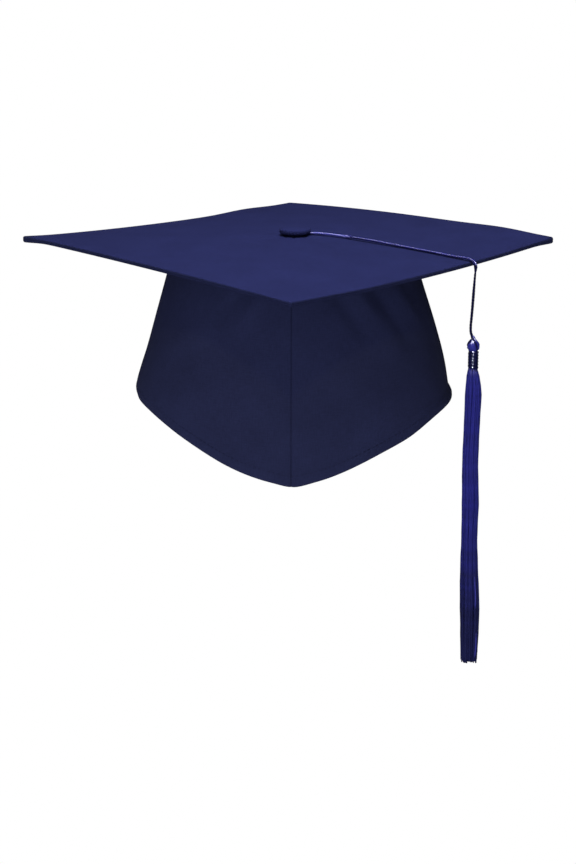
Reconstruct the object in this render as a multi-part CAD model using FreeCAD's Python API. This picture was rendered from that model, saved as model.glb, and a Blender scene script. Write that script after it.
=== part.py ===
"""Graduation cap: a square cloth-covered board on a skullcap, with a button and a swinging tassel.

Millimetres, +Z up. The origin is the centre of the head opening, level with the lower edge at
the sides of the skullcap. -Y is the front: the skullcap's point and the board's front corner.
Each function makes one group of pieces, and each piece is written as one STEP file.
"""
import FreeCAD
import Part

import math
import os

V = FreeCAD.Vector
UP = V(0, 0, 1)

# Board. Its sheet is bowed: heights are of the top face, from its middle.
BOARD_SIDE = 241.0
BOARD_THICKNESS = 3.0
CLOTH = 0.6
BOARD_X = -2.0  # the board is sewn on a little to one side of the skullcap
TOP_Z = 104.0
CORNER_RADIUS = 1.8
TURN_UNDER = 12.0
BAR_REACH = 40.0  # half height of the square bar that cuts the board's layers
THROUGH = 20.0  # deeper than the board, for holes through it
PIECE_GAP = 0.1  # room left between pieces that only lie against each other
CORNER_DROP = {"front": 6.6, "right": 1.5, "back": 5.0, "left": 0.8}
EDGE_DROP = {"front_right": 7.2, "back_right": 0.5, "back_left": 5.6, "front_left": 2.7}

# Button and its post
BUTTON_X = 1.3
BUTTON_RADIUS = 10.1
BUTTON_GAP = 1.9  # room under the button for the tassel's loop
BUTTON_HEIGHT = 5.0
POST_RADIUS = 1.5
POST_CLEARANCE = 0.1
RIVET_RADIUS = 2.6
RIVET_HEIGHT = 0.6
WASHER_RADIUS = 6.0
WASHER_THICKNESS = 0.8
BUTTON_CLOTH = 0.4
BUTTON_PLATE = 0.6
BUTTON_WALL = 0.6
BUTTON_RIM = 1.7  # height of the button's upright rim
BUTTON_MOUTH = 7.1  # radius left open by the cloth turned under the button

# Skullcap: half widths (x) and half lengths (y) of its outside at four heights
SKULL_SECTIONS = ((108.0, 73.7, 72.6), (9.0, 102.2, 88.0), (-8.0, 102.8, 90.4), (-45.0, 103.0, 93.6))
PANEL_CLOTH = 0.7
INTERLINING = 0.8
SIDE_SEAM_Y = 10.0
# Lower edge of the front: distance from the centre front, and height
FRONT_EDGE = ((0, -35.9), (14, -33.1), (42, -23.9), (70, -12.2), (86, -4.9), (97, -1.4), (112, -0.8))
BACK_EDGE_RISE = 6.0
CLEAR_X = 115.0  # these four clear the skullcap on every side
CLEAR_Y = 130.0
CLEAR_TOP = 120.0
CLEAR_LOW = -50.0
ABOVE_BOARD = 60.0  # height of the slab that trims the panels' tops
EDGE_FOLD = 0.5  # the inner pieces stay this far over the lower edge
INTERLINING_RAISE = 2.0
SEAM_GAP = 0.3
SEAM_OVERRUN = 5.0  # cutting spaces run past the side seam by this
HEADBAND_HEIGHT = 25.0
SEAM_WIDTH = 12.0
STRIP_ABOVE_BAND = 2.5
STRIP_UNDER_TAPE = 5.0
CASING_HEIGHT = 20.0
CASING_DEPTH = 2.4
ELASTIC_HEIGHT = 15.0
ELASTIC_THICKNESS = 1.0
CROWN_CARD = 0.8
TAPE_HEIGHT = 8.0

# Tassel
CORD_RADIUS = 0.75
LOOP_RADIUS = 2.5
DROP_X, DROP_Y = 110.3, -60.4  # where the cord hangs, just outside the board's front right edge
EDGE_BEND = 1.4
CORD_LIFT = 1.1  # height of the cord's centre over the board
# Points of the cord over the board, from the loop to the edge: x, y and height over the board
LEAD_ROUTE = (
    (3.8, 0.6, 0.95),
    (13.0, 2.6, 1.05),
    (25.0, -6.0, 1.6),
    (45.5, -19.4, 1.7),
    (66.0, -33.2, 1.25),
    (86.0, -45.6, 1.15),
    (99.3, -54.2, 1.1),
)
WHIPPING_RADIUS = 1.2
WHIPPING_LENGTH = 4.5
WHIPPING_SLACK = 0.02  # room between it and the cord
PIVOT_BELOW_TOP = 2.2
PIVOT_GAP = 0.2
HEAD_TOP_Z = 50.5
HEAD_HEIGHT = 9.6
HEAD_RADIUS = 3.85
HEAD_NECK = 1.2
HEAD_BORE_DEPTH = 3.0
COLLAR_HEIGHT = 11.6
COLLAR_RADIUS = 3.0
COLLAR_TURNS = 6
COLLAR_BULGE = 0.25
CORE_RADIUS = 1.9
SKIRT_END_Z = -167.7
SKIRT_TOP_RADIUS = 3.7
SKIRT_SHOULDER_RADIUS = 4.5
SKIRT_SHOULDER_LENGTH = 18.0
SKIRT_END_RADIUS = 5.6
SKIRT_WALL = 1.6
SKIRT_GAP = 0.3


def parabola(t, low, mid, high):
    """Height at t of the parabola through low, mid and high at -1, 0 and 1."""
    return low * t * (t - 1) / 2 + mid * (1 - t * t) + high * t * (t + 1) / 2


def bow(u, v):
    """Height of the bowed top face; u and v run from -1 to 1 along the board's two directions."""
    front = parabola(u, -CORNER_DROP["front"], -EDGE_DROP["front_right"], -CORNER_DROP["right"])
    middle = parabola(u, -EDGE_DROP["front_left"], 0.0, -EDGE_DROP["back_right"])
    back = parabola(u, -CORNER_DROP["left"], -EDGE_DROP["back_left"], -CORNER_DROP["back"])
    return parabola(v, front, middle, back)


def board_height(x, y):
    """Height of the board's top face over the point x, y."""
    size = BOARD_SIDE / math.sqrt(2)
    return TOP_Z + bow((x - BOARD_X + y) / size, (y - x + BOARD_X) / size)


def bowed_face():
    """The top face's surface, a little larger than the board, as one patch of degree 2."""
    reach = 1.05
    steps = (-1, 0, 1)
    heights = [[bow(i * reach, j * reach) for j in steps] for i in steps]
    for row in heights:
        row[1] = 2 * row[1] - (row[0] + row[2]) / 2
    for j in range(3):
        heights[1][j] = 2 * heights[1][j] - (heights[0][j] + heights[2][j]) / 2
    surface = Part.BezierSurface()
    surface.increase(2, 2)
    size = reach * BOARD_SIDE / 2 / math.sqrt(2)
    for i in range(3):
        for j in range(3):
            u, v = steps[i], steps[j]
            surface.setPole(i + 1, j + 1, V(BOARD_X + size * (u - v), size * (u + v), heights[i][j]))
    return surface.toShape()


BOWED_FACE = bowed_face()


def square_prism(half, radius):
    """Upright square bar over the board, with its corners along X and Y."""
    bar = Part.makeBox(2 * half, 2 * half, 2 * BAR_REACH, V(-half, -half, TOP_Z - BAR_REACH))
    if radius > 0:
        bar = bar.makeFillet(radius, [e for e in bar.Edges if abs(e.tangentAt(e.FirstParameter).z) > 0.9])
    bar.rotate(V(0, 0, 0), UP, 45)
    bar.translate(V(BOARD_X, 0, 0))
    return bar


def bowed_slab(above, below):
    """Bowed layer from above to below, both measured down from the board's top face."""
    face = BOWED_FACE.copy()
    face.translate(V(0, 0, TOP_Z - above))
    return face.extrude(V(0, 0, above - below))


def board_layer(above, below, half, radius):
    return bowed_slab(above, below).common(square_prism(half, radius))


def rod(radius, low, high, x=BUTTON_X, y=0.0):
    return Part.makeCylinder(radius, high - low, V(x, y, low))


def ellipse_wire(z, half_x, half_y):
    return Part.Wire(Part.Ellipse(V(0, 0, z), half_x, half_y).toShape())


def skull_body(inset):
    """Closed body of the skullcap's outside, moved in by inset."""
    wires = [ellipse_wire(z, a - inset, b - inset) for z, a, b in SKULL_SECTIONS]
    return Part.makeLoft(wires, True, True)


def skull_shell(outer, inner):
    """Wall of the skullcap between two insets, open above and below."""
    return skull_body(outer).cut(skull_body(inner))


def box_between(x, y, z):
    return Part.makeBox(x[1] - x[0], y[1] - y[0], z[1] - z[0], V(x[0], y[0], z[0]))


def front_space(raise_by, x_low, x_high, back_y):
    """Space over the front's lower edge, from x_low to x_high and forward of back_y."""
    half = [V(x, 0, z + raise_by) for x, z in FRONT_EDGE]
    curve = Part.BSplineCurve()
    curve.interpolate([V(-p.x, 0, p.z) for p in reversed(half[1:])] + half)
    left, right = V(-half[-1].x, 0, half[-1].z), half[-1]
    sides = [right, V(right.x, 0, CLEAR_TOP), V(left.x, 0, CLEAR_TOP), left]
    edges = [curve.toShape()] + [Part.makeLine(a, b) for a, b in zip(sides, sides[1:])]
    space = Part.Face(Part.Wire(edges))
    space.translate(V(0, back_y, 0))
    space = space.extrude(V(0, -CLEAR_Y, 0))
    return space.common(box_between((x_low, x_high), (-CLEAR_Y, CLEAR_Y), (CLEAR_LOW, CLEAR_TOP)))


def back_space(raise_by, front_y):
    """Space over the back's lower edge, which rises towards the centre back."""
    side = FRONT_EDGE[-1][1] + raise_by
    left, middle, right = V(-CLEAR_X, 0, side), V(0, 0, side + BACK_EDGE_RISE), V(CLEAR_X, 0, side)
    corners = [right, V(CLEAR_X, 0, CLEAR_TOP), V(-CLEAR_X, 0, CLEAR_TOP), left]
    edges = [Part.Arc(left, middle, right).toShape()]
    edges += [Part.makeLine(a, b) for a, b in zip(corners, corners[1:])]
    space = Part.Face(Part.Wire(edges))
    space.translate(V(0, front_y, 0))
    return space.extrude(V(0, CLEAR_Y, 0))


def board_pieces():
    """The stiff sheet, the cloth wrapped over it and the cloth under it, with the post's hole."""
    half = BOARD_SIDE / 2
    hole = rod(POST_RADIUS + POST_CLEARANCE, TOP_Z - THROUGH, TOP_Z + THROUGH)
    insert_low = BOARD_THICKNESS - CLOTH
    insert = board_layer(CLOTH, insert_low, half - CLOTH, CORNER_RADIUS - CLOTH)
    window = square_prism(half - TURN_UNDER, 0)
    wrap = board_layer(0, BOARD_THICKNESS, half, CORNER_RADIUS)
    wrap = wrap.cut(insert).cut(bowed_slab(insert_low - PIECE_GAP, THROUGH).common(window))
    under = bowed_slab(insert_low, BOARD_THICKNESS).common(window)
    return {
        "board_insert": insert.cut(hole),
        "board_top_cover": wrap.cut(hole),
        "board_underside_cover": under.cut(hole),
    }


def turned_profile(edges, x, y, z=0.0):
    """Solid turned about the upright axis at x, y from edges drawn beside the Z axis."""
    face = Part.Face(Part.Wire(edges))
    face.translate(V(x, y, z))
    return face.revolve(V(x, y, 0), UP, 360)


def dome(radius, low, shoulder, top):
    """Domed disc over the board: upright rim from low to shoulder, then a round cap to the top."""
    rise = top - shoulder
    ball = (radius**2 + rise**2) / (2 * rise)
    half_turn = math.asin(radius / ball) / 2
    middle = V(ball * math.sin(half_turn), 0, top - ball * (1 - math.cos(half_turn)))
    rim, peak = V(radius, 0, shoulder), V(0, 0, top)
    cap = Part.Arc(rim, middle, peak).toShape()
    corners = [peak, V(0, 0, low), V(radius, 0, low), rim]
    edges = [cap] + [Part.makeLine(a, b) for a, b in zip(corners, corners[1:])]
    return turned_profile(edges, BUTTON_X, 0, TOP_Z)


def button_pieces():
    """The covered button, and the post and washer that hold it to the board."""
    low = BUTTON_GAP
    rim = low + BUTTON_RIM
    plate_low, plate_high = low + BUTTON_CLOTH, low + BUTTON_CLOTH + BUTTON_PLATE
    cover = dome(BUTTON_RADIUS, low, rim, BUTTON_HEIGHT)
    metal = BUTTON_RADIUS - BUTTON_CLOTH
    metal_top = BUTTON_HEIGHT - BUTTON_CLOTH
    shell = dome(metal, plate_high, rim - PIECE_GAP, metal_top)
    plate_disc = rod(metal, TOP_Z + plate_low, TOP_Z + plate_high)
    under_hole = rod(BUTTON_MOUTH, TOP_Z, TOP_Z + plate_low)
    hollow = dome(metal - BUTTON_WALL, plate_high, rim - 2 * PIECE_GAP, metal_top - BUTTON_WALL)
    washer_low = TOP_Z - BOARD_THICKNESS - CROWN_CARD - CLOTH - PIECE_GAP - WASHER_THICKNESS
    rivet_high = TOP_Z + plate_high + RIVET_HEIGHT
    post = rod(POST_RADIUS, washer_low, TOP_Z + plate_high)
    post = post.fuse(rod(RIVET_RADIUS, TOP_Z + plate_high, rivet_high))
    post = post.fuse(rod(RIVET_RADIUS, washer_low - RIVET_HEIGHT, washer_low))
    washer = rod(WASHER_RADIUS, washer_low, washer_low + WASHER_THICKNESS)
    return {
        "button_cover": cover.cut(shell).cut(plate_disc).cut(under_hole),
        "button_shell": shell.cut(hollow),
        "button_back_plate": plate_disc.cut(rod(POST_RADIUS, TOP_Z, TOP_Z + THROUGH)),
        "button_post": post.removeSplitter(),
        "button_washer": washer.cut(rod(POST_RADIUS + POST_CLEARANCE, TOP_Z - THROUGH, TOP_Z)),
    }


def crown_pieces():
    """Card and cloth of the oval crown under the board, and the tape round its seam."""
    hole = rod(POST_RADIUS + POST_CLEARANCE, TOP_Z - THROUGH, TOP_Z)
    inset = PANEL_CLOTH + INTERLINING + PIECE_GAP
    inside = skull_body(inset)
    card_low = BOARD_THICKNESS + CROWN_CARD
    cloth_low = card_low + CLOTH
    card = bowed_slab(BOARD_THICKNESS, card_low).common(inside)
    cloth = bowed_slab(card_low, cloth_low).common(inside)
    tape = skull_shell(inset, inset + CLOTH).common(bowed_slab(cloth_low, cloth_low + TAPE_HEIGHT))
    return {
        "crown_stiffener": card.cut(hole),
        "crown_cloth": cloth.cut(hole),
        "crown_seam_tape": tape,
    }


def front_pieces():
    """The two front panels, their interlinings, the band inside the hem and the seam strip."""
    above = bowed_slab(BOARD_THICKNESS, -ABOVE_BOARD)
    lining_out = PANEL_CLOTH
    lining_in = PANEL_CLOTH + INTERLINING
    cloth = skull_shell(0, lining_out).cut(above)
    stiff = skull_shell(lining_out, lining_in).cut(above)
    band = skull_shell(lining_in, lining_in + CLOTH)
    made = {}
    for side, x_low, x_high in (("left", -CLEAR_X, 0), ("right", 0, CLEAR_X)):
        made[f"front_{side}_panel"] = cloth.common(front_space(0, x_low, x_high, SIDE_SEAM_Y))
        inner = front_space(INTERLINING_RAISE, x_low, x_high, SIDE_SEAM_Y - SEAM_WIDTH / 2)
        made[f"front_{side}_interlining"] = stiff.common(inner)
    band = band.common(front_space(EDGE_FOLD, -CLEAR_X, CLEAR_X, SIDE_SEAM_Y))
    over_band = front_space(EDGE_FOLD + HEADBAND_HEIGHT, -CLEAR_X, CLEAR_X, SIDE_SEAM_Y + SEAM_OVERRUN)
    made["front_headband"] = band.cut(over_band)
    strip = skull_shell(lining_in, lining_in + 2 * CLOTH)
    strip_low = FRONT_EDGE[0][1] + HEADBAND_HEIGHT + STRIP_ABOVE_BAND
    strip_high = TOP_Z - BOARD_THICKNESS - TAPE_HEIGHT - STRIP_UNDER_TAPE
    strip_x = (-SEAM_WIDTH / 2, SEAM_WIDTH / 2)
    strip_box = box_between(strip_x, (-CLEAR_Y, 0), (strip_low, strip_high))
    made["centre_front_seam_strip"] = strip.common(strip_box)
    return made


def back_pieces():
    """The gathered back, the side seams' strips, and the elastic in its casing."""
    above = bowed_slab(BOARD_THICKNESS, -ABOVE_BOARD)
    strip_y = (SIDE_SEAM_Y - SEAM_WIDTH / 2, SIDE_SEAM_Y + SEAM_WIDTH / 2)
    strip_low = HEADBAND_HEIGHT + STRIP_ABOVE_BAND
    strip_z = (strip_low, TOP_Z - BOARD_THICKNESS - TAPE_HEIGHT - STRIP_UNDER_TAPE)
    made = {"back_panel": skull_shell(0, PANEL_CLOTH).cut(above).common(back_space(0, SIDE_SEAM_Y))}
    strip = skull_shell(PANEL_CLOTH, PANEL_CLOTH + INTERLINING)
    for side, x in (("left", (-CLEAR_X, 0)), ("right", (0, CLEAR_X))):
        made[f"{side}_side_seam_strip"] = strip.common(box_between(x, strip_y, strip_z))
    casing_in = PANEL_CLOTH + CASING_DEPTH
    elastic_out = PANEL_CLOTH + (CASING_DEPTH - ELASTIC_THICKNESS) / 2
    from_y, past_y = SIDE_SEAM_Y + SEAM_GAP, SIDE_SEAM_Y - SEAM_OVERRUN
    casing = skull_shell(PANEL_CLOTH, casing_in).common(back_space(EDGE_FOLD, from_y))
    casing = casing.cut(back_space(EDGE_FOLD + CASING_HEIGHT, past_y))
    raise_by = EDGE_FOLD + (CASING_HEIGHT - ELASTIC_HEIGHT) / 2
    elastic = skull_shell(elastic_out, elastic_out + ELASTIC_THICKNESS)
    elastic = elastic.common(back_space(raise_by, from_y))
    elastic = elastic.cut(back_space(raise_by + ELASTIC_HEIGHT, past_y))
    made["back_elastic_casing"] = casing.cut(elastic)
    made["back_elastic"] = elastic
    return made


def rounded_route(points, last_radius=None):
    """Wire of straight runs and tangent arcs through a route; prints the arcs' radii."""
    edges, radii = [], []
    start = points[0]
    for i in range(1, len(points) - 1):
        before, here, after = points[i - 1], points[i], points[i + 1]
        back, on = (before - here), (after - here)
        turn = math.pi - back.getAngle(on)
        shorter = min(back.Length, on.Length)
        radius = 0.45 * shorter / math.tan(turn / 2)
        if last_radius is not None and i == len(points) - 2:
            radius = last_radius
        cut = radius * math.tan(turn / 2)
        back.normalize()
        on.normalize()
        first, last = here + back * cut, here + on * cut
        middle = back + on
        middle.normalize()
        reach = radius / math.cos(turn / 2) - radius
        edges.append(Part.LineSegment(start, first).toShape())
        edges.append(Part.Arc(first, here + middle * reach, last).toShape())
        radii.append(round(radius, 1))
        start = last
    edges.append(Part.LineSegment(start, points[-1]).toShape())
    print("cord radii, mm:", radii)
    return Part.Wire(edges)


def tube(path, radius):
    """Round tube along a path, and its volume beside its section times its length."""
    start = path.Edges[0].valueAt(path.Edges[0].FirstParameter)
    along = path.Edges[0].tangentAt(path.Edges[0].FirstParameter)
    profile = Part.Wire(Part.Circle(start, along, radius).toShape())
    solid = path.makePipeShell([profile], True, False)
    section = math.pi * radius**2
    print("tube volume, mm3:", round(solid.Volume, 1), "of", round(section * path.Length, 1))
    return solid


def swing_pivot():
    """Centre of the cord's bend over the board's edge."""
    return V(DROP_X, DROP_Y, board_height(DROP_X, DROP_Y) - PIVOT_BELOW_TOP)


def lead_pieces():
    """The loop round the post, the cord over the board to its edge, and the whipping on it."""
    height = TOP_Z + LEAD_ROUTE[0][2]
    loop = Part.makeTorus(LOOP_RADIUS, CORD_RADIUS, V(BUTTON_X, 0, height))
    points = [V(x, y, board_height(x, y) + lift) for x, y, lift in LEAD_ROUTE]
    points.append(V(DROP_X, DROP_Y, board_height(DROP_X, DROP_Y) + CORD_LIFT))
    points.append(swing_pivot() + UP * (CORD_RADIUS + PIVOT_GAP))
    lead = tube(rounded_route(points, EDGE_BEND), CORD_RADIUS)
    along = points[3] - points[2]
    middle = points[2] + along * 0.5
    along.normalize()
    base = middle - along * (WHIPPING_LENGTH / 2)
    whipping = Part.makeCylinder(WHIPPING_RADIUS, WHIPPING_LENGTH, base, along)
    bore = CORD_RADIUS + WHIPPING_SLACK
    whipping = whipping.cut(Part.makeCylinder(bore, WHIPPING_LENGTH, base, along))
    return {"tassel_loop": loop, "tassel_cord_lead": lead, "tassel_whipping": whipping}


def collar(low):
    """Wrap of thread: a sleeve with a round ridge for each turn."""
    pitch = COLLAR_HEIGHT / COLLAR_TURNS
    root = COLLAR_RADIUS - COLLAR_BULGE
    high = low + COLLAR_HEIGHT
    outer = []
    for turn in range(COLLAR_TURNS):
        z = low + turn * pitch
        ridge = V(root, 0, z), V(COLLAR_RADIUS, 0, z + pitch / 2), V(root, 0, z + pitch)
        outer.append(Part.Arc(*ridge).toShape())
    inside = [V(root, 0, high), V(CORE_RADIUS, 0, high), V(CORE_RADIUS, 0, low), V(root, 0, low)]
    return outer + [Part.makeLine(a, b) for a, b in zip(inside, inside[1:])]


def drop_pieces():
    """The hanging cord, the knot it goes into, and the collar over the tassel's tie."""
    pivot = swing_pivot()
    low = HEAD_TOP_Z - HEAD_BORE_DEPTH
    cord = rod(CORD_RADIUS, low, pivot.z, DROP_X, DROP_Y).fuse(Part.makeSphere(CORD_RADIUS, pivot))
    head_low = HEAD_TOP_Z - HEAD_HEIGHT
    high_rim, low_rim = V(HEAD_NECK, 0, HEAD_TOP_Z), V(HEAD_NECK, 0, head_low)
    outline = Part.Arc(high_rim, V(HEAD_RADIUS, 0, (HEAD_TOP_Z + head_low) / 2), low_rim)
    rest = [low_rim, V(0, 0, head_low), V(0, 0, HEAD_TOP_Z), high_rim]
    edges = [outline.toShape()] + [Part.makeLine(a, b) for a, b in zip(rest, rest[1:])]
    head = turned_profile(edges, DROP_X, DROP_Y)
    head = head.cut(rod(CORD_RADIUS, low, pivot.z, DROP_X, DROP_Y))
    collar_low = head_low - COLLAR_HEIGHT
    core = rod(CORE_RADIUS, collar_low, head_low, DROP_X, DROP_Y)
    return {
        "tassel_cord_drop": cord.removeSplitter(),
        "tassel_head_knot": head,
        "tassel_collar_wrap": turned_profile(collar(collar_low), DROP_X, DROP_Y),
        "tassel_core": core,
    }


def skirt_outline(wall):
    """Outline of the skirt, moved in by wall: a round shoulder, then long straight strands."""
    top = HEAD_TOP_Z - HEAD_HEIGHT - COLLAR_HEIGHT - SKIRT_GAP - wall
    radius = SKIRT_TOP_RADIUS - wall
    centre = top - radius
    shoulder = centre - SKIRT_SHOULDER_LENGTH
    slant = math.sqrt(0.5) * radius
    curve = Part.Arc(V(0, 0, top), V(slant, 0, centre + slant), V(radius, 0, centre)).toShape()
    points = [V(radius, 0, centre), V(SKIRT_SHOULDER_RADIUS - wall, 0, shoulder)]
    points += [V(SKIRT_END_RADIUS - wall, 0, SKIRT_END_Z), V(0, 0, SKIRT_END_Z), V(0, 0, top)]
    return [curve] + [Part.makeLine(a, b) for a, b in zip(points, points[1:])]


def skirt_pieces():
    """The skirt: a sleeve of outer strands round a bundle of inner ones."""
    whole = turned_profile(skirt_outline(0), DROP_X, DROP_Y)
    inner = turned_profile(skirt_outline(SKIRT_WALL), DROP_X, DROP_Y)
    return {"tassel_skirt_outer": whole.cut(inner), "tassel_skirt_inner": inner}


def main():
    os.makedirs("parts", exist_ok=True)
    groups = (
        board_pieces,
        button_pieces,
        crown_pieces,
        front_pieces,
        back_pieces,
        lead_pieces,
        drop_pieces,
        skirt_pieces,
    )
    for group in groups:
        for name, shape in group().items():
            state = "valid" if shape.isValid() else "NOT VALID"
            print(f"{name}: {len(shape.Solids)} solid, {shape.Volume:.1f} mm3, {state}")
            Part.makeCompound(shape.Solids).exportStep(f"parts/{name}.step")
    pivot = swing_pivot()
    print("swing pivot", round(pivot.x, 3), round(pivot.y, 3), round(pivot.z, 3))


main()
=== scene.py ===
"""Graduation cap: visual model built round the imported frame. Metres; +Z up; -Y is the front."""
import math

import bmesh
import bpy
import numpy as np
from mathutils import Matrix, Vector


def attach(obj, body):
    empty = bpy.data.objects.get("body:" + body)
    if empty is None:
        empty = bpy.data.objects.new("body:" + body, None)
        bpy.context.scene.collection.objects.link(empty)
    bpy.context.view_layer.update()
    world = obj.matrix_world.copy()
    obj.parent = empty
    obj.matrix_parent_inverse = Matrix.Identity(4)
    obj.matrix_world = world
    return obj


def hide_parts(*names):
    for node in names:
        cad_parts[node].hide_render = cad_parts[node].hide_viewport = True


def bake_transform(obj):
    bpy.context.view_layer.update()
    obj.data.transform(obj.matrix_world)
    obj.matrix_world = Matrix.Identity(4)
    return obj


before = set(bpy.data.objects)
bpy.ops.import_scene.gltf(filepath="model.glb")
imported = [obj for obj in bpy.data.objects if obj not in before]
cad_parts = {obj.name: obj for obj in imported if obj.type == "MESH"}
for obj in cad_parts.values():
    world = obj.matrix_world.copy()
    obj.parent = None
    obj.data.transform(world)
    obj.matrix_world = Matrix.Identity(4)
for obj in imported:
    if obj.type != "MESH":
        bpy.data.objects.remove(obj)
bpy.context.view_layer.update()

MM = 0.001
ROOT2 = math.sqrt(2)
rng = np.random.default_rng(11)

# ---- dimensions, as in the CAD (mm)
BOARD_SIDE = 241.0
BOARD_THICKNESS = 3.0
BOARD_X = -2.0
TOP_Z = 104.0
CORNER_DROP = {"front": 6.6, "right": 1.5, "back": 5.0, "left": 0.8}
EDGE_DROP = {"front_right": 7.2, "back_right": 0.5, "back_left": 5.6, "front_left": 2.7}
BUTTON_X = 1.3
SIDE_SEAM_Y = 10.0
DROP_X, DROP_Y = 110.3, -60.4
HEAD_TOP_Z, HEAD_HEIGHT = 50.5, 9.6
COLLAR_HEIGHT, COLLAR_TURNS = 11.6, 6
SKIRT_END_Z = -167.7
PIVOT = (DROP_X, DROP_Y, 95.5)


def parabola(t, low, mid, high):
    return low * t * (t - 1) / 2 + mid * (1 - t * t) + high * t * (t + 1) / 2


def board_height(x, y):
    """Height of the bowed board's top face over x, y, in mm."""
    size = BOARD_SIDE / ROOT2
    u, v = (x - BOARD_X + y) / size, (y - x + BOARD_X) / size
    front = parabola(u, -CORNER_DROP["front"], -EDGE_DROP["front_right"], -CORNER_DROP["right"])
    middle = parabola(u, -EDGE_DROP["front_left"], 0.0, -EDGE_DROP["back_right"])
    back = parabola(u, -CORNER_DROP["left"], -EDGE_DROP["back_left"], -CORNER_DROP["back"])
    return TOP_Z + parabola(v, front, middle, back)


# ---- camera, light and floor
scene = bpy.context.scene
optics = bpy.data.cameras.new("camera")
optics.sensor_width = 36.0
optics.lens = 62.5
optics.shift_y = -0.1505
optics.clip_end = 500.0
camera = bpy.data.objects.new("camera", optics)
camera.location = (-0.0033, -0.960, 0.274)
camera.rotation_euler = (math.radians(90 - 12.603), 0, 0)
scene.collection.objects.link(camera)
scene.camera = camera


def lamp(name, kind, place, power, size, lights="all"):
    """A soft lamp at place, turned to the cap. A sun's power is its light on a surface that faces it."""
    data = bpy.data.lights.new(name, kind)
    data.energy = power
    if kind == "SUN":
        data.angle = size
    else:
        data.shape, data.size = "DISK", size
    made = bpy.data.objects.new(name, data)
    made.location = place
    made.rotation_euler = (Vector((0, 0, 0.05)) - Vector(place)).to_track_quat("-Z", "Y").to_euler()
    made.visible_camera = False
    made.visible_glossy = lights != "shade"
    made.visible_diffuse = lights != "shine"
    scene.collection.objects.link(made)


lamp("overhead", "SUN", (-0.35, -0.30, 2.0), 1.25, 0.7)
lamp("softbox", "AREA", (0.04, -0.20, 0.62), 4.9, 0.30, lights="shade")
lamp("front_fill", "SUN", (-0.55, -2.0, 0.6), 0.88, 0.7, lights="shade")
lamp("low_fill", "AREA", (-0.25, -1.6, -0.7), 19.0, 0.60, lights="shade")
lamp("glint", "AREA", (-0.005, -0.97, 0.82), 27.0, 0.06, lights="shine")
lamp("rim", "AREA", (-0.55, 0.30, 1.30), 4.5, 0.35, lights="shine")

world = bpy.data.worlds.new("studio")
world.use_nodes = True
background = world.node_tree.nodes["Background"].inputs
background["Color"].default_value, background["Strength"].default_value = (1, 1, 1, 1), 0.30
world.cycles_visibility.glossy = False  # the studio round the lamps is dark
scene.world = world
scene.view_settings.view_transform = "Standard"


# ---- node helpers
def new_material(name):
    material = bpy.data.materials.new(name)
    material.use_nodes = True
    tree = material.node_tree
    return material, tree, tree.nodes["Principled BSDF"]


def put(tree, target, values):
    """Gives a node's inputs their values: another node's output is linked, a constant is set."""
    for key, value in values.items():
        if isinstance(value, bpy.types.NodeSocket):
            tree.links.new(value, target.inputs[key])
        else:
            target.inputs[key].default_value = value


def node(tree, kind, values=None, **settings):
    made = tree.nodes.new("ShaderNode" + kind)
    for key, value in settings.items():
        setattr(made, key, value)
    put(tree, made, values or {})
    return made


def maths(tree, operation, a, b=None):
    values = {0: a} if b is None else {0: a, 1: b}
    return node(tree, "Math", values, operation=operation).outputs[0]


def ramp(tree, value, stops):
    made = node(tree, "ValToRGB", {0: value})
    elements = made.color_ramp.elements
    while len(elements) < len(stops):
        elements.new(0.5)
    for element, (place, colour) in zip(elements, stops):
        element.position = place
        element.color = (*colour, 1)
    return made.outputs[0]


def noise(tree, place, scale, detail, rough=0.5, stretch=None):
    """Noise that follows a place, drawn out by stretch."""
    if stretch:
        place = node(tree, "Mapping", {"Vector": place, "Scale": stretch}).outputs[0]
    values = {"Vector": place, "Scale": scale, "Detail": detail, "Roughness": rough}
    return node(tree, "TexNoise", values).outputs["Fac"]


def bumped(tree, height, strength, distance):
    values = {"Height": height, "Strength": strength, "Distance": distance}
    return node(tree, "Bump", values).outputs[0]


# ---- the floor, and a white dome behind everything
FLOOR_Z = -1.6
DOME_RADIUS = 20
BLACK, WHITE = (0, 0, 0, 1), (1, 1, 1, 1)

floor_paint, tree, shader = new_material("floor_white")
blotches = node(tree, "TexNoise", {"Scale": 2.0, "Detail": 2.0}).outputs["Fac"]
pale = ramp(tree, blotches, [(0.3, (0.80, 0.80, 0.80)), (0.7, (0.83, 0.83, 0.83))])
put(tree, shader, {"Base Color": pale, "Roughness": 0.9})
bpy.ops.mesh.primitive_plane_add(size=400, location=(0, 0, FLOOR_Z))
floor = bpy.context.object
floor.name = "floor"
floor.data.materials.append(floor_paint)
floor.visible_camera = floor.visible_glossy = False  # it gives back light; the dome's flat floor is what shows

dome_paint, tree, shader = new_material("backdrop_white")
put(tree, shader, {"Base Color": BLACK, "Specular IOR Level": 0.0, "Emission Color": WHITE, "Emission Strength": 1.0})
bpy.ops.mesh.primitive_uv_sphere_add(segments=48, ring_count=24, radius=DOME_RADIUS)
backdrop = bpy.context.object
backdrop.name = "backdrop"
backdrop.data.materials.append(dome_paint)
for vertex in backdrop.data.vertices:
    vertex.co.z = max(vertex.co.z, FLOOR_Z + 0.01)
# only the camera sees it
backdrop.visible_diffuse = backdrop.visible_glossy = backdrop.visible_transmission = False
backdrop.visible_shadow = backdrop.visible_volume_scatter = False

# ---- materials
def scaled(colour, factor):
    return tuple(min(1.0, channel * factor) for channel in colour)


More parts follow.
